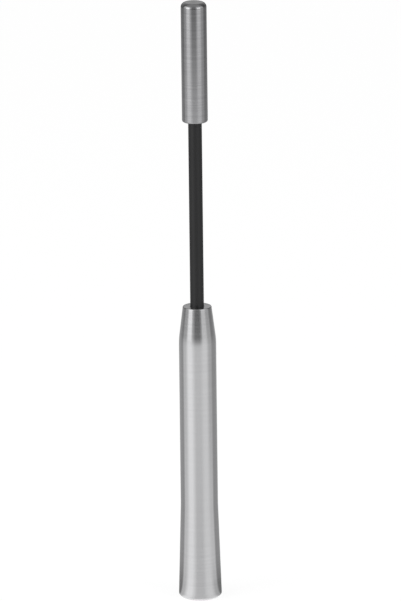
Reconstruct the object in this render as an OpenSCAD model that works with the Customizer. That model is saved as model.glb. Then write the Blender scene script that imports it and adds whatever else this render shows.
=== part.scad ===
// Short car mast aerial. A turned aluminium handle carries a slim black rod with the
// aerial's winding inside it, and a turned aluminium cap closes the rod's top end.
// The origin is the centre of the foot that seats on the roof base, with +Z up the mast.
// Threads are drawn as plain walls at the size that carries the load.

/* [Handle] */
// Length of the handle, from the foot to the flat face of the neck
handle_len = 116.5; // [95:0.1:140]
// Diameter of the plain barrel
barrel_d = 14.4; // [13:0.1:15.5]
// Diameter of the flared foot at its widest
foot_d = 16.6; // [15.8:0.1:20]
// Height of the top of the flare above the roof
flare_len = 37.3; // [20:0.1:45]
// Radius of the rounded bottom edge of the foot
foot_round = 1.8; // [0.6:0.1:2]
// Width of the flat ring that the foot stands on
foot_rim = 1; // [0.8:0.1:1.6]
// Length of the tapered shoulder below the neck face, with its soft start
shoulder_len = 15.3; // [12:0.1:22]
// Radius of the soft start of the shoulder
shoulder_round = 34; // [10:1:45]
// Diameter of the neck at its rim
neck_d = 11.2; // [10:0.1:12.4]
// Radius of the rounded rim of the neck
neck_round = 0.4; // [0.3:0.1:1.2]
// Diameter of the long bore through the handle
bore_d = 7; // [6.4:0.1:7.8]

/* [Rod] */
// Length of rod that shows between the handle and the cap
rod_show = 73.6; // [50:0.1:120]
// Diameter of the black jacket
rod_d = 5.3; // [4.6:0.05:5.8]
// Wall of the jacket
jacket_wall = 0.5; // [0.4:0.05:0.7]
// Depth of the jacket's seat in the neck
neck_seat = 14; // [9:0.5:18]
// Depth of the jacket's seat in the cap
cap_seat = 6; // [4.5:0.5:9]

/* [Winding] */
// Diameter of the copper wire
wire_d = 0.5; // [0.35:0.05:0.6]
// Turns in the close-wound loading coil at the bottom of the rod
coil_turns = 22; // [8:1:26]
// Rise of each turn in the loading coil
coil_pitch = 0.8; // [0.7:0.05:1.1]
// Rise of each turn in the open winding above it
open_pitch = 2.8; // [2.4:0.1:4]

/* [Cap] */
// Length of the cap
cap_len = 47.3; // [34:0.1:60]
// Diameter of the cap
cap_d = 10; // [9:0.1:12]
// Radius of the rounded top edge
cap_top_round = 1.9; // [0.8:0.1:2.5]
// Radius of the rounded bottom edge
cap_foot_round = 0.7; // [0.3:0.1:1]

/* [Ferrules] */
// Length of the brass ferrule in the neck
neck_ferrule_len = 16; // [12:0.5:22]
// Depth of the core's seat in the neck ferrule
neck_cup_depth = 12; // [7:0.5:14]
// Length of the cup of the brass ferrule in the cap
cap_cup_len = 8; // [6:0.5:10]
// Depth of the core's seat in the cap ferrule
cap_cup_depth = 6.5; // [4:0.5:7]
// Wall of the cap ferrule's cup
cap_cup_wall = 0.85; // [0.5:0.05:1.1]
// Diameter of the threaded stud that the cap screws on to
stud_d = 4; // [3:0.1:4.3]
// Length of that stud
stud_len = 9; // [6:0.5:12]
// Depth of the slots that take the ends of the wire
wire_slot_depth = 1.8; // [1.2:0.1:2.4]

/* [Foot] */
// Length of the brass bush that screws on to the roof base
bush_len = 14; // [10:0.5:20]
// Outer diameter of the bush
bush_d = 9; // [8.2:0.1:10]
// Diameter of the bush's hole at the crests of its M6 thread
thread_bore_d = 5; // [4.2:0.1:5.2]
// Bevel at each mouth of the bush
bush_bevel = 0.5; // [0.2:0.1:0.8]
// Depth of the recess for the foot seal
recess_depth = 2.2; // [1.6:0.1:3]
// Thickness of the foot seal
foot_seal_t = 2; // [1.2:0.1:2.1]
// Width of the foot seal's ring
foot_seal_w = 1.6; // [1.2:0.1:2.2]

/* [Seals] */
// Thickness of the O-rings round the rod
ring_t = 1.2; // [0.8:0.1:1.4]
// Depth of the O-ring groove below the neck face
neck_groove_depth = 2.6; // [1.6:0.1:5]
// Height of the O-ring groove above the bottom of the cap
cap_groove_depth = 2; // [1.4:0.1:2.6]

/* [Fits] */
// Gap round pieces that are pressed, screwed or bonded together
fit = 0.02; // [0.01:0.01:0.05]
// Gap round the wire, the jacket and the rings
soft_fit = 0.04; // [0.03:0.01:0.06]

/* [Hidden] */

// Fineness of round walls, of the rings' section, of the soft shoulder and of the wire
WALL_STEPS = 96;
RING_STEPS = 24;
SHOULDER_STEPS = 720;
WIRE_STEPS = 12;
WIRE_SIDES = 6;
// A cut runs this far past the face that it opens
PAST = 1;
// A twist drill runs this far past the stud, and its end is a cone of this angle
DRILL_ROOM = 1;
DRILL_POINT_ANGLE = 118;

// Radii that several pieces share, from the rod outwards
rod_r = rod_d / 2;
jacket_bore_r = rod_r - jacket_wall;
wire_r = wire_d / 2;
wire_path_r = jacket_bore_r - soft_fit - wire_r;
// Half-way between two points of its course the wire lies this much nearer the axis
wire_sag = wire_path_r * (1 - cos(180 / WIRE_STEPS));
core_r = wire_path_r - wire_sag - wire_r - soft_fit;
cup_bore_r = core_r + fit;
socket_r = rod_r + soft_fit;
groove_r = socket_r + ring_t;
bore_r = bore_d / 2;
cap_cup_r = core_r + cap_cup_wall;
recess_r = foot_d / 2 - foot_round - foot_rim;
wire_slot_w = wire_d + 4 * soft_fit;

// Heights up the mast
bush_z = recess_depth;
bush_top = bush_z + bush_len;
neck_face = handle_len;
jacket_z = neck_face - neck_seat;
cap_z = neck_face + rod_show;
jacket_top = cap_z + cap_seat;
cap_top = cap_z + cap_len;
core_z = jacket_z - neck_cup_depth;
core_top = jacket_top + cap_cup_depth;
stud_z = jacket_top + cap_cup_len;
stud_top = stud_z + stud_len;

// Angle at which a straight wall leaves one round of a profile and meets the next one up
function wall_angle(low_centre, low_r, high_centre, high_r) =
    let (d = high_centre - low_centre)
    atan2(d[1], d[0]) - acos((low_r - high_r) / norm(d));

// The point of a round at an angle above the horizontal
function on_round(centre, r, angle) = centre + r * [cos(angle), sin(angle)];

// An O-ring groove in a hole's wall, for a profile that runs down that wall
function groove(middle) =
    let (half = ring_t / 2 + soft_fit)
    [[socket_r, middle + half], [groove_r, middle + half],
     [groove_r, middle - half], [socket_r, middle - half]];

// A lathe-turned piece from its half outline
module turned(profile) {
    rotate_extrude($fn = WALL_STEPS) polygon(profile);
}

// A full round at a corner of a profile
module round_corner(centre, r) {
    translate(centre) circle(r = r, $fn = WALL_STEPS);
}

// A ring of round section about the mast's axis
module o_ring(z) {
    translate([0, 0, z])
        rotate_extrude($fn = WALL_STEPS)
            translate([socket_r + ring_t / 2, 0])
                circle(d = ring_t - 2 * soft_fit, $fn = RING_STEPS);
}

// The handle: rounded foot, straight flare, plain barrel, tapered shoulder and rounded neck.
// Its hole steps down from the seal's recess, through the bush's seat and the long bore,
// to the rod's socket in the neck.
module handle() {
    foot = [foot_d / 2 - foot_round, foot_round];
    flare_top = [barrel_d / 2, flare_len];
    shoulder = [barrel_d / 2 - shoulder_round, neck_face - shoulder_len];
    rim = [neck_d / 2 - neck_round, neck_face - neck_round];
    flare = wall_angle(foot, foot_round, flare_top, 0);
    taper = wall_angle(shoulder, shoulder_round, rim, neck_round);
    taper_start = on_round(shoulder, shoulder_round, taper);
    color("silver")
        rotate_extrude($fn = WALL_STEPS)
            difference() {
                union() {
                    polygon([[0, 0], [foot[0], 0], foot, on_round(foot, foot_round, flare),
                             flare_top, [barrel_d / 2, shoulder[1]], taper_start,
                             on_round(rim, neck_round, taper), rim, [rim[0], neck_face],
                             [0, neck_face]]);
                    round_corner(foot, foot_round);
                    round_corner(rim, neck_round);
                    intersection() {
                        translate(shoulder) circle(r = shoulder_round, $fn = SHOULDER_STEPS);
                        translate([0, shoulder[1]])
                            square([barrel_d / 2, taper_start[1] - shoulder[1]]);
                    }
                }
                polygon(concat(
                    [[-PAST, -PAST], [-PAST, neck_face + PAST], [socket_r, neck_face + PAST]],
                    groove(neck_face - neck_groove_depth),
                    [[socket_r, jacket_z], [bore_r, jacket_z],
                     [bore_r, bush_top], [bush_d / 2 + fit, bush_top],
                     [bush_d / 2 + fit, bush_z], [recess_r, bush_z], [recess_r, -PAST]]));
            }
}

// The brass bush pressed into the foot, which holds the mast's female thread
module thread_bush() {
    hole_r = thread_bore_d / 2;
    color("goldenrod")
        turned([[hole_r + bush_bevel, bush_z], [bush_d / 2 - bush_bevel, bush_z],
                [bush_d / 2, bush_z + bush_bevel], [bush_d / 2, bush_top - bush_bevel],
                [bush_d / 2 - bush_bevel, bush_top], [hole_r + bush_bevel, bush_top],
                [hole_r, bush_top - bush_bevel], [hole_r, bush_z + bush_bevel]]);
}

// The flat rubber ring in the foot's recess
module foot_seal() {
    outer_r = recess_r - soft_fit;
    color("dimgray")
        translate([0, 0, bush_z - foot_seal_t])
            difference() {
                cylinder(r = outer_r, h = foot_seal_t, $fn = WALL_STEPS);
                translate([0, 0, -PAST])
                    cylinder(r = outer_r - foot_seal_w, h = foot_seal_t + 2 * PAST,
                             $fn = WALL_STEPS);
            }
}

// O-ring round the rod at the mouth of the neck
module neck_seal() {
    color("dimgray") o_ring(neck_face - neck_groove_depth);
}

// O-ring round the rod at the mouth of the cap
module cap_seal() {
    color("dimgray") o_ring(cap_z + cap_groove_depth);
}

// A slot through one side of a ferrule's mouth, where the wire's end is soldered
module wire_slot(z) {
    translate([0, -wire_slot_w / 2, z])
        cube([wire_path_r + wire_r + soft_fit, wire_slot_w, wire_slot_depth]);
}

// The brass ferrule pressed up the long bore against the step below the neck, so that a pull
// on the rod can't draw it out. The core is bonded in its cup.
module neck_ferrule() {
    color("goldenrod")
        difference() {
            translate([0, 0, jacket_z - neck_ferrule_len])
                cylinder(r = bore_r - fit, h = neck_ferrule_len, $fn = WALL_STEPS);
            translate([0, 0, core_z])
                cylinder(r = cup_bore_r, h = neck_cup_depth + PAST, $fn = WALL_STEPS);
            wire_slot(jacket_z - wire_slot_depth);
        }
}

// The brass ferrule on the core's top end, with the stud that the cap screws on to
module cap_ferrule() {
    color("goldenrod")
        difference() {
            turned([[0, jacket_top], [cap_cup_r, jacket_top], [cap_cup_r, stud_z],
                    [stud_d / 2 - fit, stud_z], [stud_d / 2 - fit, stud_top],
                    [0, stud_top]]);
            translate([0, 0, jacket_top - PAST])
                cylinder(r = cup_bore_r, h = cap_cup_depth + PAST, $fn = WALL_STEPS);
            wire_slot(jacket_top);
        }
}

// The glass-fibre core, from one ferrule's cup to the other's
module rod_core() {
    color("ivory")
        translate([0, 0, core_z])
            cylinder(r = core_r, h = core_top - core_z, $fn = WALL_STEPS);
}

// The black jacket over the winding
module rod_jacket() {
    color([0.12, 0.12, 0.12])
        turned([[jacket_bore_r, jacket_z], [rod_r, jacket_z],
                [rod_r, jacket_top], [jacket_bore_r, jacket_top]]);
}

// The winding's course as [angle, height] pairs: up out of the neck ferrule's slot, round the
// close coil, round the open winding, and into the cap ferrule's slot. It ends on a whole turn,
// so both slots face the same way.
function winding_course() =
    let (lead = wire_slot_depth - 2 * soft_fit,
         first = jacket_z + wire_r,
         last = jacket_top - wire_r,
         coil_rise = coil_turns * coil_pitch,
         open_turns = floor((last - first - coil_rise) / open_pitch),
         rise = (last - first - coil_rise) / open_turns)
    concat(
        [[0, first - wire_r - lead]],
        [for (i = [0 : coil_turns * WIRE_STEPS])
            [360 * i / WIRE_STEPS, first + coil_pitch * i / WIRE_STEPS]],
        [for (i = [1 : open_turns * WIRE_STEPS])
            [360 * i / WIRE_STEPS, first + coil_rise + rise * i / WIRE_STEPS]],
        [[0, last + wire_r + lead]]);

// The copper wire: a small polygon carried along the course and turned to face along it
module winding() {
    course = winding_course();
    last = len(course) - 1;
    path = [for (c = course) [wire_path_r * cos(c[0]), wire_path_r * sin(c[0]), c[1]]];
    points = [for (i = [0 : last])
        let (ahead = path[min(i + 1, last)] - path[max(i - 1, 0)],
             along = ahead / norm(ahead),
             out = [cos(course[i][0]), sin(course[i][0]), 0],
             across = cross(along, out),
             side = across / norm(across),
             square_out = cross(side, along))
        for (k = [0 : WIRE_SIDES - 1])
            let (a = 360 * k / WIRE_SIDES)
            path[i] + wire_r * (cos(a) * square_out + sin(a) * side)];
    walls = [for (i = [0 : last - 1], k = [0 : WIRE_SIDES - 1], half = [0, 1])
        let (a = i * WIRE_SIDES + k,
             b = i * WIRE_SIDES + (k + 1) % WIRE_SIDES)
        half == 0 ? [a, a + WIRE_SIDES, b + WIRE_SIDES] : [a, b + WIRE_SIDES, b]];
    ends = [[for (k = [0 : WIRE_SIDES - 1]) k],
            [for (k = [WIRE_SIDES - 1 : -1 : 0]) last * WIRE_SIDES + k]];
    color("peru") polyhedron(points, concat(walls, ends));
}

// The cap: a bar with a rounded top, drilled in steps for the jacket, the ferrule and its stud
module tip_cap() {
    hole_r = stud_d / 2;
    drill_end = stud_top + DRILL_ROOM;
    drill_tip = drill_end + hole_r / tan(DRILL_POINT_ANGLE / 2);
    foot = [cap_d / 2 - cap_foot_round, cap_z + cap_foot_round];
    top = [cap_d / 2 - cap_top_round, cap_top - cap_top_round];
    color("silver")
        rotate_extrude($fn = WALL_STEPS)
            difference() {
                union() {
                    polygon([[0, cap_z], [foot[0], cap_z], foot, [cap_d / 2, foot[1]],
                             [cap_d / 2, top[1]], top, [top[0], cap_top], [0, cap_top]]);
                    round_corner(foot, cap_foot_round);
                    round_corner(top, cap_top_round);
                }
                polygon(concat(
                    [[-PAST, cap_z - PAST], [-PAST, drill_tip], [0, drill_tip],
                     [hole_r, drill_end], [hole_r, stud_z],
                     [cap_cup_r + fit, stud_z], [cap_cup_r + fit, jacket_top],
                     [socket_r, jacket_top]],
                    groove(cap_z + cap_groove_depth),
                    [[socket_r, cap_z - PAST]]));
            }
}

handle();
thread_bush();
foot_seal();
neck_seal();
neck_ferrule();
rod_core();
winding();
rod_jacket();
cap_seal();
cap_ferrule();
tip_cap();
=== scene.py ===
import math

import bpy
import numpy as np
from mathutils import Matrix, Vector


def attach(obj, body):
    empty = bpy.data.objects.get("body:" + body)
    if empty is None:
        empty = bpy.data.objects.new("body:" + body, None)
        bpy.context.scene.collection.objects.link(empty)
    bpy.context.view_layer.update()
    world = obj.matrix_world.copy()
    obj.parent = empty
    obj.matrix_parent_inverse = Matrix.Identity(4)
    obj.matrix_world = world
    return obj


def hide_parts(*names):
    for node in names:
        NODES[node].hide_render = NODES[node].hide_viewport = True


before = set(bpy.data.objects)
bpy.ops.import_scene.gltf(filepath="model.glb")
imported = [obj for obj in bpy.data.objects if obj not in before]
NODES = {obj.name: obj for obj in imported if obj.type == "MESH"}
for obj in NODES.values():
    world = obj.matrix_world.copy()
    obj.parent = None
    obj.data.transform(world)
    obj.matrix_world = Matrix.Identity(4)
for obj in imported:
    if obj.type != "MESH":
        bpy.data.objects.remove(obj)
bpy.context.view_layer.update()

MM = 0.001


# Heights and radii of the pieces, in millimetres. They are the CAD's own.
HANDLE_LEN = 116.5
BARREL_R = 7.2
FOOT_R = 8.3
FLARE_LEN = 37.3
FOOT_ROUND = 1.8
SHOULDER_START = 101.2
SHOULDER_ROUND = 34.0
NECK_R = 5.6
NECK_ROUND = 0.4
RECESS_R, RECESS_DEPTH = 5.5, 2.2
BUSH_SEAT_R, BUSH_R, BUSH_TOP = 4.52, 4.5, 16.2
FOOT_SEAL_INNER, FOOT_SEAL_OUTER, FOOT_SEAL_BOTTOM = 3.86, 5.46, 0.2
BORE_R = 3.5
ROD_R, JACKET_BORE_R = 2.65, 2.15
SOCKET_R = 2.69
GROOVE_R, GROOVE_HALF, O_RING_R = 3.89, 0.64, 0.56
NECK_GROOVE_Z = 113.9
JACKET_BOTTOM, JACKET_TOP = 102.5, 196.1
CAP_BOTTOM, CAP_TOP = 190.1, 237.4
CAP_R = 5.0
CAP_FOOT_ROUND, CAP_TOP_ROUND = 0.7, 1.9
CAP_GROOVE_Z = 192.1
CUP_SEAT_R, CUP_SEAT_TOP = 2.377, 204.1
STUD_HOLE_R, STUD_HOLE_TOP, DRILL_TIP = 2.0, 214.1, 215.3

# Edges that the CAD leaves sharp are broken: at the mouths of the handle and the cap, inside
# their holes, on the jacket and on the foot seal. The bush's ends are tapered much as in the CAD.
# Its M6 thread, which the CAD has as a plain hole at the crests, opens with a cone at each mouth.
MOUTH_BREAK, HOLE_BREAK, JACKET_BREAK, SEAL_BREAK = 0.12, 0.05, 0.06, 0.25
TAPER_WIDTH, TAPER_HEIGHT = 0.45, 0.5
THREAD_PITCH, THREAD_CREST_R, THREAD_ROOT_R, THREAD_MOUTH_R = 1.0, 2.5, 3.03, 3.15

# Holding points keep smooth shading flat: beside a broken edge at HOLD times its break, above
# and below the bend between flare and barrel, beside the bush's corners and on the cap's flat
# top. At the point below the bend, the flare's radius is greater than the barrel's by BEND_WIDER.
# Where an outline meets the axis, its last ring has the radius POLE_R.
HOLD = 1.6
BEND_HOLD, BEND_WIDER = 0.4, 0.0119
TAPER_HOLD = 0.05
CAP_FLAT_R = 1.5
POLE_R = 0.05

# How far the lathe's marks show at four heights of the handle. It changes evenly in between.
MARKS_SHOWN = {30: 1.0, 38: 0.15, 98: 0.15, 103: 1.0}

# How many sides a turned surface has.
METAL_SIDES, TUBE_SIDES, BUSH_SIDES, O_RING_SIDES = 192, 128, 120, 96


# Outlines
def arc(centre, radius, start, end, steps):
    """Points of a circle's arc: centre plus radius times (cos a, sin a), with a running evenly
    from start to end, in degrees."""
    a = np.radians(np.linspace(start, end, steps + 1))
    return np.column_stack([centre[0] + radius * np.cos(a), centre[1] + radius * np.sin(a)])


def wall_angle(low, low_r, high, high_r):
    """Angle of the straight wall that touches a low and a high circle on their outer side: the
    direction between the centres, less the angle whose cosine is the radii's difference over
    the distance."""
    d = np.subtract(high, low)
    return math.degrees(math.atan2(d[1], d[0]) - math.acos((low_r - high_r) / np.hypot(*d)))


def eased(outline, breaks):
    """An outline with a small flat bevel at each sharp corner, and a holding point beside it on
    both walls. breaks gives each corner's bevel, 0 for a point that is kept as it is. A bevel
    cuts the corner off at that distance along both of its walls."""
    points = []
    n = len(outline)
    for i, (p, b) in enumerate(zip(outline, breaks)):
        p = np.asarray(p, float)
        if b == 0:
            points.append(p)
            continue
        before = np.asarray(outline[i - 1], float) - p
        after = np.asarray(outline[(i + 1) % n], float) - p
        before /= np.hypot(*before)
        after /= np.hypot(*after)
        points += [p + HOLD * b * before, p + b * before, p + b * after, p + HOLD * b * after]
    return np.array(points)


# Meshes
def placed(name, data):
    """A new object in the scene, with its mesh, lamp or camera data."""
    made = bpy.data.objects.new(name, data)
    bpy.context.scene.collection.objects.link(made)
    return made


def tag(mesh, name, values):
    """Gives each vertex of a mesh a number, for its material to read."""
    made = mesh.attributes.get(name) or mesh.attributes.new(name, "FLOAT", "POINT")
    made.data.foreach_set("value", values.astype(np.float32).ravel())


def revolved(name, radius, height, sides, closed):
    """A surface turned about the mast's axis. Point (i, j) lies at radius[i, j] from the axis, at
    the angle 2 pi j / sides, and at height[i, j]. Where radius and height have one value for
    each row, it holds all round. A closed outline joins its last row to its first. An open one
    starts and ends on the axis, and each end is closed by a fan. The outline runs so that the
    material lies on its left, which turns the faces outwards. The attribute along is the distance
    along the outline from its first row, and the attribute cut is 1."""
    rows = len(radius)
    r = np.broadcast_to(np.reshape(radius, (rows, -1)), (rows, sides)) * MM
    z = np.broadcast_to(np.reshape(height, (rows, -1)), (rows, sides)) * MM
    angle = 2 * math.pi * np.arange(sides) / sides
    points = np.stack([r * np.cos(angle), r * np.sin(angle), z], axis=2).reshape(-1, 3)
    step = np.hypot(np.diff(r[:, 0]), np.diff(z[:, 0]))
    along = np.repeat(np.concatenate([[0.0], np.cumsum(step)]), sides)
    index = np.arange(rows * sides).reshape(rows, sides)
    if closed:
        low, high = index, np.roll(index, -1, axis=0)
    else:
        low, high = index[:-1], index[1:]
    quads = np.stack([low, np.roll(low, -1, axis=1), np.roll(high, -1, axis=1), high], axis=2)
    faces = quads.reshape(-1, 4).tolist()
    if not closed:
        first, last = len(points), len(points) + 1
        points = np.vstack([points, [[0, 0, z[0, 0]], [0, 0, z[-1, 0]]]])
        along = np.concatenate([along, [along[0] - r[0, 0], along[-1] + r[-1, 0]]])
        start, end = index[0], index[-1]
        faces += np.column_stack([np.roll(start, -1), start, np.full(sides, first)]).tolist()
        faces += np.column_stack([end, np.roll(end, -1), np.full(sides, last)]).tolist()
    mesh = bpy.data.meshes.new(name)
    mesh.from_pydata(points.tolist(), [], faces)
    tag(mesh, "along", along)
    tag(mesh, "cut", np.ones(len(along)))
    mesh.shade_smooth()
    mesh.validate()
    return placed(name, mesh)


def stands_for(piece, node, finish):
    """Puts a piece in a CAD node's place, with that node's body, material slot and finish."""
    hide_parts(node)
    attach(piece, "root")
    piece.data.materials.append(finish)


# Finishes
class Finish:
    """A node material with a few helpers for its maths."""

    def __init__(self, name):
        self.material = bpy.data.materials.new(name)
        self.material.use_nodes = True
        self.tree = self.material.node_tree
        self.shader = self.tree.nodes["Principled BSDF"]

    def node(self, kind, **settings):
        made = self.tree.nodes.new(kind)
        for key, value in settings.items():
            setattr(made, key, value)
        return made

    def link(self, source, target):
        self.tree.links.new(source, target)

    def set(self, **values):
        """Sets inputs of the shader, named with _ for each space."""
        for key, value in values.items():
            self.shader.inputs[key.replace("_", " ")].default_value = value

    def math(self, operation, a, b):
        """The result of a Math node on two numbers or outputs."""
        made = self.node("ShaderNodeMath", operation=operation)
        for socket, value in zip(made.inputs, (a, b)):
            if isinstance(value, (int, float)):
                socket.default_value = value
            else:
                self.link(value, socket)
        return made.outputs[0]

    def blend(self, a, b, share):
        """The share of a and the rest of b."""
        rest = self.math("MULTIPLY", b, 1 - share)
        return self.math("ADD", self.math("MULTIPLY", a, share), rest)

    def attribute(self, name):
        return self.node("ShaderNodeAttribute", attribute_name=name).outputs["Fac"]

    def noise(self, vector, scale, detail, roughness):
        made = self.node("ShaderNodeTexNoise")
        self.link(vector, made.inputs["Vector"])
        made.inputs["Scale"].default_value = scale
        made.inputs["Detail"].default_value = detail
        made.inputs["Roughness"].default_value = roughness
        return made.outputs["Fac"]

    def round_about(self, value, middle, reach):
        """Carries 0 to 1 on to the middle less the reach, up to the middle plus the reach."""
        made = self.node("ShaderNodeMapRange")
        self.link(value, made.inputs["Value"])
        made.inputs["To Min"].default_value = middle - reach
        made.inputs["To Max"].default_value = middle + reach
        return made.outputs["Result"]

    def between(self, value, dark, light):
        """A colour between two, by a value from 0 to 1."""
        made = self.node("ShaderNodeMix", data_type="RGBA")
        self.link(value, made.inputs["Factor"])
        made.inputs["A"].default_value = (*dark, 1)
        made.inputs["B"].default_value = (*light, 1)
        return made.outputs["Result"]

    def bump(self, height, distance):
        made = self.node("ShaderNodeBump")
        made.inputs["Distance"].default_value = distance
        made.inputs["Strength"].default_value = 1.0
        self.link(height, made.inputs["Height"])
        self.link(made.outputs["Normal"], self.shader.inputs["Normal"])


# Scales of the noises: the lathe's fine and coarse marks, the wear of the metal and the clouds
# in a moulding's tone. In the marks X and Y are shrunk to MARK_SQUEEZE.
FINE_MARKS, COARSE_MARKS, WEAR, TONE_CLOUDS = 3200, 900, 90, 140
MARK_SQUEEZE = 0.03


def turned_metal(name, dark, light, roughness, anisotropy, mark_depth, by_height=False):
    """Bare metal off a lathe. The tool's marks are rings one behind the other along the outline,
    so they are noise that is stretched round the axis: its third coordinate is the attribute
    along, and the other two are Object X and Y, far smaller. The marks show by the share in the
    attribute cut. A CAD node has neither, so by_height takes the height in place of along, and
    there the marks show in full."""
    f = Finish(name)
    place = f.node("ShaderNodeTexCoord").outputs["Object"]
    split = f.node("ShaderNodeSeparateXYZ")
    f.link(place, split.inputs[0])
    along = split.outputs[2] if by_height else f.attribute("along")
    joined = f.node("ShaderNodeCombineXYZ")
    f.link(f.math("MULTIPLY", split.outputs[0], MARK_SQUEEZE), joined.inputs[0])
    f.link(f.math("MULTIPLY", split.outputs[1], MARK_SQUEEZE), joined.inputs[1])
    f.link(along, joined.inputs[2])
    rings = joined.outputs[0]
    fine = f.noise(rings, FINE_MARKS, detail=2.0, roughness=0.6)
    coarse = f.noise(rings, COARSE_MARKS, detail=2.0, roughness=0.6)
    wear = f.noise(place, WEAR, detail=3.0, roughness=0.5)
    marks = f.blend(fine, coarse, 0.35)
    if not by_height:
        shown = f.math("MULTIPLY", f.math("SUBTRACT", marks, 0.5), f.attribute("cut"))
        marks = f.math("ADD", shown, 0.5)
    f.link(f.between(marks, dark, light), f.shader.inputs["Base Color"])
    worn = f.blend(marks, wear, 0.7)
    f.link(f.round_about(worn, roughness, 0.05), f.shader.inputs["Roughness"])
    f.bump(marks, mark_depth)
    f.set(Metallic=1.0, Anisotropic=anisotropy, Anisotropic_Rotation=0.25)
    tangent = f.node("ShaderNodeTangent", direction_type="RADIAL", axis="Z")
    f.link(tangent.outputs[0], f.shader.inputs["Tangent"])
    return f.material


def moulded(name, dark, light, roughness, grain_scale, grain_depth, specular=0.5):
    """Plastic, rubber, resin or varnish: clouds in its tone, and a fine grain in its height and
    its gloss."""
    f = Finish(name)
    place = f.node("ShaderNodeTexCoord").outputs["Object"]
    grain = f.noise(place, grain_scale, detail=3.0, roughness=0.6)
    clouds = f.noise(place, TONE_CLOUDS, detail=2.0, roughness=0.5)
    f.link(f.between(clouds, dark, light), f.shader.inputs["Base Color"])
    f.link(f.round_about(grain, roughness, 0.06), f.shader.inputs["Roughness"])
    f.bump(grain, grain_depth)
    f.set(Specular_IOR_Level=specular)
    return f.material


BRASS = {"dark": (0.70, 0.50, 0.20), "light": (0.80, 0.60, 0.28),
         "roughness": 0.26, "anisotropy": 0.5, "mark_depth": 4e-6}

handle_finish = turned_metal("satin_aluminium", (0.57, 0.57, 0.58), (0.80, 0.80, 0.81),
                             roughness=0.19, anisotropy=0.7, mark_depth=5e-6)
cap_finish = turned_metal("bright_aluminium", (0.34, 0.34, 0.35), (0.61, 0.61, 0.62),
                          roughness=0.19, anisotropy=0.7, mark_depth=5e-6)
bush_finish = turned_metal("brass_bush", **BRASS)
ferrule_finish = turned_metal("brass_ferrule", **BRASS, by_height=True)
rubber_finish = moulded("dull_rubber", (0.018, 0.018, 0.018), (0.03, 0.03, 0.03),
                        roughness=0.6, grain_scale=5000, grain_depth=8e-6)
jacket_finish = moulded("black_sleeve", (0.025, 0.025, 0.026), (0.030, 0.030, 0.031),
                        roughness=0.42, grain_scale=6000, grain_depth=6e-6, specular=0.45)
core_finish = moulded("resin_glass", (0.62, 0.61, 0.48), (0.75, 0.74, 0.62),
                      roughness=0.4, grain_scale=3000, grain_depth=6e-6)
wire_finish = moulded("varnished_copper", (0.34, 0.10, 0.03), (0.45, 0.16, 0.06),
                      roughness=0.25, grain_scale=2500, grain_depth=2e-6)


# Pieces
def handle_outline():
    """The handle's outline: foot round, straight flare, plain barrel, soft shoulder, straight
    taper, neck round, flat face, then down the stepped hole and back to the foot."""
    foot = (FOOT_R - FOOT_ROUND, FOOT_ROUND)
    shoulder = (BARREL_R - SHOULDER_ROUND, SHOULDER_START)
    rim = (NECK_R - NECK_ROUND, HANDLE_LEN - NECK_ROUND)
    flare = wall_angle(foot, FOOT_ROUND, (BARREL_R, FLARE_LEN), 0)
    taper = wall_angle(shoulder, SHOULDER_ROUND, rim, NECK_ROUND)
    outside = np.vstack([
        arc(foot, FOOT_ROUND, -90, flare, 20),
        [[BARREL_R + BEND_WIDER, FLARE_LEN - BEND_HOLD], [BARREL_R, FLARE_LEN + BEND_HOLD]],
        arc(shoulder, SHOULDER_ROUND, 0, taper, 16),
        arc(rim, NECK_ROUND, taper, 90, 14),
    ])
    hole = np.array([
        (SOCKET_R, HANDLE_LEN), (SOCKET_R, NECK_GROOVE_Z + GROOVE_HALF),
        (GROOVE_R, NECK_GROOVE_Z + GROOVE_HALF), (GROOVE_R, NECK_GROOVE_Z - GROOVE_HALF),
        (SOCKET_R, NECK_GROOVE_Z - GROOVE_HALF), (SOCKET_R, JACKET_BOTTOM),
        (BORE_R, JACKET_BOTTOM), (BORE_R, BUSH_TOP), (BUSH_SEAT_R, BUSH_TOP),
        (BUSH_SEAT_R, RECESS_DEPTH), (RECESS_R, RECESS_DEPTH), (RECESS_R, 0),
    ])
    hole_breaks = [MOUTH_BREAK] + [HOLE_BREAK] * (len(hole) - 2) + [MOUTH_BREAK]
    return eased(np.vstack([outside, hole]), [0] * len(outside) + hole_breaks)


def cap_outline():
    """The cap's outline, from the drill's point on the axis down the stepped hole, round the
    mouth, up the outside and over the rounded top to the axis."""
    foot = (CAP_R - CAP_FOOT_ROUND, CAP_BOTTOM + CAP_FOOT_ROUND)
    top = (CAP_R - CAP_TOP_ROUND, CAP_TOP - CAP_TOP_ROUND)
    drill_falls = POLE_R * (DRILL_TIP - STUD_HOLE_TOP) / STUD_HOLE_R
    hole = np.array([
        (POLE_R, DRILL_TIP - drill_falls), (STUD_HOLE_R, STUD_HOLE_TOP),
        (STUD_HOLE_R, CUP_SEAT_TOP), (CUP_SEAT_R, CUP_SEAT_TOP), (CUP_SEAT_R, JACKET_TOP),
        (SOCKET_R, JACKET_TOP), (SOCKET_R, CAP_GROOVE_Z + GROOVE_HALF),
        (GROOVE_R, CAP_GROOVE_Z + GROOVE_HALF), (GROOVE_R, CAP_GROOVE_Z - GROOVE_HALF),
        (SOCKET_R, CAP_GROOVE_Z - GROOVE_HALF), (SOCKET_R, CAP_BOTTOM),
    ])
    outside = np.vstack([
        arc(foot, CAP_FOOT_ROUND, -90, 0, 12),
        arc(top, CAP_TOP_ROUND, 0, 90, 20),
        [[CAP_FLAT_R, CAP_TOP], [POLE_R, CAP_TOP]],
    ])
    hole_breaks = [0] + [HOLE_BREAK] * (len(hole) - 2) + [MOUTH_BREAK]
    return eased(np.vstack([hole, outside]), hole_breaks + [0] * len(outside))


def tube_outline(inner, outer, low, high, edge):
    """A tube's outline, up its outer wall and down its bore, with its four edges broken."""
    return eased([(outer, low), (outer, high), (inner, high), (inner, low)], [edge] * 4)


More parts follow.
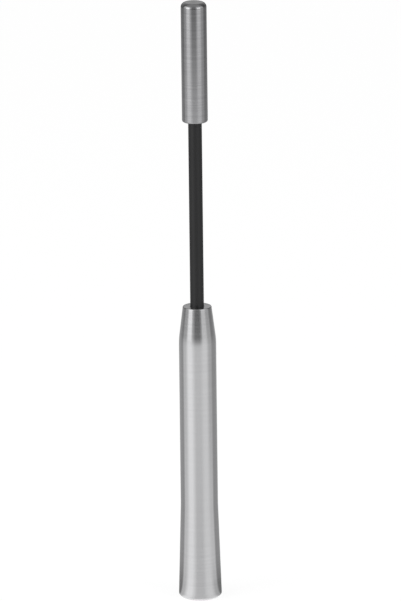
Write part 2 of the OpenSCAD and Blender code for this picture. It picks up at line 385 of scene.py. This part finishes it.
def bush_outline():
    """The outside of the bush, from its lower to its upper face, with both ends tapered and a
    holding point beside each corner."""
    face_r = BUSH_R - TAPER_WIDTH
    low, high = RECESS_DEPTH + TAPER_HEIGHT, BUSH_TOP - TAPER_HEIGHT
    return np.array([
        (face_r - TAPER_HOLD, RECESS_DEPTH), (face_r, RECESS_DEPTH),
        (BUSH_R, low), (BUSH_R, low + 2 * TAPER_HOLD),
        (BUSH_R, high - 2 * TAPER_HOLD), (BUSH_R, high),
        (face_r, BUSH_TOP), (face_r - TAPER_HOLD, BUSH_TOP),
    ])


def thread_wall(pitch, crest_r, root_r, low, high, mouth_r, sides, per_pitch):
    """A right-handed female thread's wall, from the top down. At angle a and height z the phase
    is z / pitch less a / (2 pi). From the middle of a crest the wall runs flat for an eighth
    of the pitch, then leaves it at 60 degrees to the axis until it meets the root. Each mouth
    is a 45-degree cone, and where that is wider than the thread the cone is the wall."""
    z = np.linspace(high, low, round((high - low) / pitch * per_pitch) + 1)[:, None]
    turn = np.arange(sides)[None, :] / sides
    from_crest = np.abs((z / pitch - turn) % 1 - 0.5) * pitch
    flank = crest_r + (from_crest - pitch / 8) * math.tan(math.radians(60))
    cone = mouth_r - np.minimum(z - low, high - z)
    radius = np.maximum(np.clip(flank, crest_r, root_r), cone)
    return radius, np.broadcast_to(z, radius.shape)


handle = revolved("handle_turned", *handle_outline().T, METAL_SIDES, closed=True)
stands_for(handle, "handle", handle_finish)
# The barrel is smooth bar. The lathe's marks show on the flare and on the shoulder.
places = np.empty(len(handle.data.vertices) * 3, np.float32)
handle.data.vertices.foreach_get("co", places)
tag(handle.data, "cut", np.interp(places[2::3] / MM, list(MARKS_SHOWN), list(MARKS_SHOWN.values())))

cap = revolved("cap_turned", *cap_outline().T, METAL_SIDES, closed=False)
stands_for(cap, "tip_cap", cap_finish)

sleeve = tube_outline(JACKET_BORE_R, ROD_R, JACKET_BOTTOM, JACKET_TOP, JACKET_BREAK)
jacket = revolved("jacket_sleeve", *sleeve.T, TUBE_SIDES, closed=True)
stands_for(jacket, "rod_jacket", jacket_finish)

flat_ring = tube_outline(FOOT_SEAL_INNER, FOOT_SEAL_OUTER, FOOT_SEAL_BOTTOM, RECESS_DEPTH,
                         SEAL_BREAK)
foot_seal = revolved("foot_seal_ring", *flat_ring.T, TUBE_SIDES, closed=True)
stands_for(foot_seal, "foot_seal", rubber_finish)

for node, groove_z in (("neck_seal", NECK_GROOVE_Z), ("cap_seal", CAP_GROOVE_Z)):
    circle = arc(((SOCKET_R + GROOVE_R) / 2, groove_z), O_RING_R, -180, 180, 24)[:-1]
    o_ring = revolved(node + "_ring", *circle.T, O_RING_SIDES, closed=True)
    stands_for(o_ring, node, rubber_finish)

wall_r, wall_z = thread_wall(THREAD_PITCH, THREAD_CREST_R, THREAD_ROOT_R, RECESS_DEPTH, BUSH_TOP,
                             THREAD_MOUTH_R, BUSH_SIDES, per_pitch=16)
outside_r, outside_z = (np.outer(v, np.ones(BUSH_SIDES)) for v in bush_outline().T)
bush = revolved("thread_bush_cut", np.vstack([outside_r, wall_r]), np.vstack([outside_z, wall_z]),
                BUSH_SIDES, closed=True)
stands_for(bush, "thread_bush", bush_finish)

for node, finish in (("neck_ferrule", ferrule_finish), ("cap_ferrule", ferrule_finish),
                     ("rod_core", core_finish), ("winding", wire_finish)):
    NODES[node].data.materials.clear()
    NODES[node].data.materials.append(finish)


# Camera
# The photo is 401 by 601 pixels, and one of them is 0.3863 mm at the mast. The camera looks
# down on it by 15 degrees from far off, and is turned a little, because the mast leans left.
PHOTO_HEIGHT = 601
PIXEL = 0.3863 * MM
SENSOR = 36
CAMERA_OFF = 6.0
LOOK_DOWN = math.radians(15.0)
LEAN = math.radians(0.668)
AIM_HEIGHT = 118.68 * MM
AIM_RIGHT = 1.34 * MM

back = Vector((0, -math.cos(LOOK_DOWN), math.sin(LOOK_DOWN)))
level = Vector((1, 0, 0))
up = back.cross(level)
side = level * math.cos(LEAN) - up * math.sin(LEAN)
rise = up * math.cos(LEAN) + level * math.sin(LEAN)
aim = Vector((0, 0, AIM_HEIGHT)) + side * AIM_RIGHT
camera = placed("camera", bpy.data.cameras.new("camera"))
camera.data.sensor_width = SENSOR
camera.data.lens = SENSOR * CAMERA_OFF / (PHOTO_HEIGHT * PIXEL)
camera.data.clip_start, camera.data.clip_end = 0.1, 60
turn = Matrix((side, rise, back)).transposed().to_4x4()
camera.matrix_world = Matrix.Translation(aim + back * CAMERA_OFF) @ turn
bpy.context.scene.camera = camera


# Stage and light, in metres
MAST_MIDDLE = 0.118
FLOOR_GLOW = 0.785
FLOOR_LEFT, FLOOR_RIGHT, FLOOR_FRONT, FLOOR_BACK = -0.8, 0.8, -0.75, 1.6
SHEET_HEIGHT = 0.0001
SHEET_RADII = [0.0085, 0.025, 0.06, 0.14, 0.3, 0.6, 1.0, 2.3]
PAINTED_TENT_RADIUS = 2.3
PAINTED_TENT_ELEVATIONS = [-30, 6, 16, 34, 50, 66, 89.9]
WORLD_FILL = 0.40
AZIMUTHS = np.linspace(-180, 180, 181)


def seen(f):
    """1 for rays that show the background: the camera's, mirrored ones and those through glass."""
    path = f.node("ShaderNodeLightPath")
    most = f.math("MAXIMUM", path.outputs["Is Camera Ray"], path.outputs["Is Glossy Ray"])
    return f.math("MAXIMUM", most, path.outputs["Is Transmission Ray"])


floor_finish = Finish("pale_floor")
floor_finish.set(Base_Color=(0.5, 0.5, 0.5, 1), Roughness=0.9, Specular_IOR_Level=0.0,
                 Emission_Color=(1, 1, 1, 1))
floor_finish.link(floor_finish.math("MULTIPLY", seen(floor_finish), FLOOR_GLOW),
                  floor_finish.shader.inputs["Emission Strength"])
# From below the floor is left out, so that the foot can be looked at.
from_below = floor_finish.node("ShaderNodeNewGeometry").outputs["Backfacing"]
floor_finish.link(floor_finish.math("SUBTRACT", 1.0, from_below),
                  floor_finish.shader.inputs["Alpha"])
floor_mesh = bpy.data.meshes.new("floor")
floor_mesh.from_pydata([(FLOOR_LEFT, FLOOR_FRONT, 0), (FLOOR_RIGHT, FLOOR_FRONT, 0),
                        (FLOOR_RIGHT, FLOOR_BACK, 0), (FLOOR_LEFT, FLOOR_BACK, 0)],
                       [], [(0, 1, 2, 3)])
floor_mesh.materials.append(floor_finish.material)
floor = placed("floor", floor_mesh)


def around(radius, height):
    """Places all round the mast, one row for each radius and height. The azimuth is measured
    from the camera's side to the right: x is the radius times its sine, and y is less the radius
    times its cosine."""
    r, z = np.reshape(radius, (-1, 1)), np.reshape(height, (-1, 1))
    azimuth = np.radians(AZIMUTHS)
    x, y = r * np.sin(azimuth), -r * np.cos(azimuth)
    return np.stack([x, y, np.broadcast_to(z, x.shape)], axis=2)


def tone_round(back, behind, left_side, left, front, right, right_side):
    """A tone for each azimuth: right behind the mast, behind to both sides, on the left and on
    the right, and in front. It is even within each of these, and straight in between."""
    stops = {-180: back, -105: behind, -95: left_side, -80: left_side, -60: left, -40: left,
             -15: front, 15: front, 35: right, 55: right, 75: right_side, 90: right_side,
             100: behind, 130: behind, 180: back}
    return np.interp(AZIMUTHS, list(stops), list(stops.values()))


def only_mirrored(name, points, tones):
    """A painted reflection: a stage surface that glows by its tones, though it is no lamp, and that
    only the metal mirrors; the light and the camera pass it by. points is a grid of places, and
    tones gives how bright each of them glows, with white as 1."""
    rows, columns = tones.shape
    index = np.arange(rows * columns).reshape(rows, columns)
    low, high = index[:-1], index[1:]
    quads = np.stack([low[:, :-1], low[:, 1:], high[:, 1:], high[:, :-1]], axis=2)
    mesh = bpy.data.meshes.new(name)
    mesh.from_pydata(points.reshape(-1, 3).tolist(), [], quads.reshape(-1, 4).tolist())
    tag(mesh, "tone", tones)
    f = Finish(name)
    f.set(Base_Color=(0, 0, 0, 1), Specular_IOR_Level=0.0, Emission_Color=(1, 1, 1, 1))
    f.link(f.attribute("tone"), f.shader.inputs["Emission Strength"])
    mesh.materials.append(f.material)
    made = placed(name, mesh)
    for ray in ("camera", "diffuse", "transmission", "volume_scatter", "shadow"):
        setattr(made, "visible_" + ray, False)


# Four rings of glowing sheets lie on the floor round the mast. They are a painted reflection of the
# floor that only the metal mirrors, bright on the left and on the right. Near the foot they are
# darker behind and in front, a painted shadow of the mast. The farthest one is dark in front, a
# painted dark reflection.
at_foot = tone_round(back=0.3, behind=0.2, left_side=0.6, left=1.0,
                     front=0.65, right=0.8, right_side=0.5)
close = tone_round(back=0.4, behind=0.35, left_side=0.7, left=0.95,
                   front=0.65, right=0.8, right_side=0.7)
near = tone_round(back=0.5, behind=0.35, left_side=0.65, left=1.0,
                  front=0.75, right=0.8, right_side=0.5)
far = tone_round(back=0.4, behind=0.2, left_side=0.4, left=0.8,
                 front=0.15, right=0.8, right_side=0.45)
only_mirrored("painted_floor_reflection", around(SHEET_RADII, [SHEET_HEIGHT] * len(SHEET_RADII)),
              np.stack([at_foot, at_foot, close, close, near, near, far, far]))

# The tent is a painted reflection that only the metal mirrors. It glows, though it is no lamp, as
# painted highlights about the softboxes on the left and on the right. Between them, in front, a
# painted dark band stands in for a dark flag that is not built, and low behind the mast the tent is
# painted dark.
low = tone_round(back=0.0, behind=0.2, left_side=0.35, left=0.5,
                 front=0.1, right=0.3, right_side=0.4)
middle = tone_round(back=0.5, behind=0.1, left_side=0.8, left=0.9,
                    front=0.25, right=0.8, right_side=0.7)
high = tone_round(back=0.35, behind=0.1, left_side=0.8, left=1.0,
                  front=0.25, right=0.9, right_side=0.65)
upper = tone_round(back=0.2, behind=0.15, left_side=0.4, left=0.5,
                   front=0.3, right=0.6, right_side=0.4)
roof = np.full_like(upper, 0.35)
elevation = np.radians(PAINTED_TENT_ELEVATIONS)
only_mirrored("painted_reflection_tent", around(PAINTED_TENT_RADIUS * np.cos(elevation),
                             MAST_MIDDLE + PAINTED_TENT_RADIUS * np.sin(elevation)),
              np.stack([low, low, middle, high, upper, roof, roof]))


def softbox(name, azimuths, elevations, radiance):
    """A soft rectangular lamp, a metre off, that faces the mast and spans the given azimuths and
    elevations. Its power is its radiance times its area times pi."""
    a, e = (math.radians(sum(v) / 2) for v in (azimuths, elevations))
    width, height = (2 * math.tan(math.radians(v[1] - v[0]) / 2) for v in (azimuths, elevations))
    out = Vector((math.sin(a) * math.cos(e), -math.cos(a) * math.cos(e), math.sin(e)))
    lamp = bpy.data.lights.new(name, "AREA")
    lamp.shape = "RECTANGLE"
    lamp.size, lamp.size_y = width * math.cos(e), height
    lamp.energy = radiance * lamp.size * lamp.size_y * math.pi
    made = placed(name, lamp)
    made.matrix_world = (Matrix.Translation(Vector((0, 0, MAST_MIDDLE)) + out)
                         @ out.to_track_quat("Z", "Y").to_matrix().to_4x4())
    made.visible_camera = False


softbox("left_low", azimuths=(-68, -38), elevations=(-4, 12), radiance=0.5)
softbox("left_high", azimuths=(-76, -36), elevations=(12, 38), radiance=1.0)
softbox("right_low", azimuths=(29, 62), elevations=(-4, 12), radiance=0.23)
softbox("right_high", azimuths=(30, 64), elevations=(12, 38), radiance=0.68)

# The world is white, and only WORLD_FILL as strong for the light on matt surfaces.
world = bpy.data.worlds.new("studio")
bpy.context.scene.world = world
world.use_nodes = True
background = world.node_tree.nodes["Background"]
background.inputs["Color"].default_value = (1, 1, 1, 1)
kind_of_ray = world.node_tree.nodes.new("ShaderNodeLightPath")
strength = world.node_tree.nodes.new("ShaderNodeMapRange")
world.node_tree.links.new(kind_of_ray.outputs["Is Diffuse Ray"], strength.inputs["Value"])
strength.inputs["To Min"].default_value = 1.0
strength.inputs["To Max"].default_value = WORLD_FILL
world.node_tree.links.new(strength.outputs["Result"], background.inputs["Strength"])

bpy.context.scene.view_settings.view_transform = "Standard"
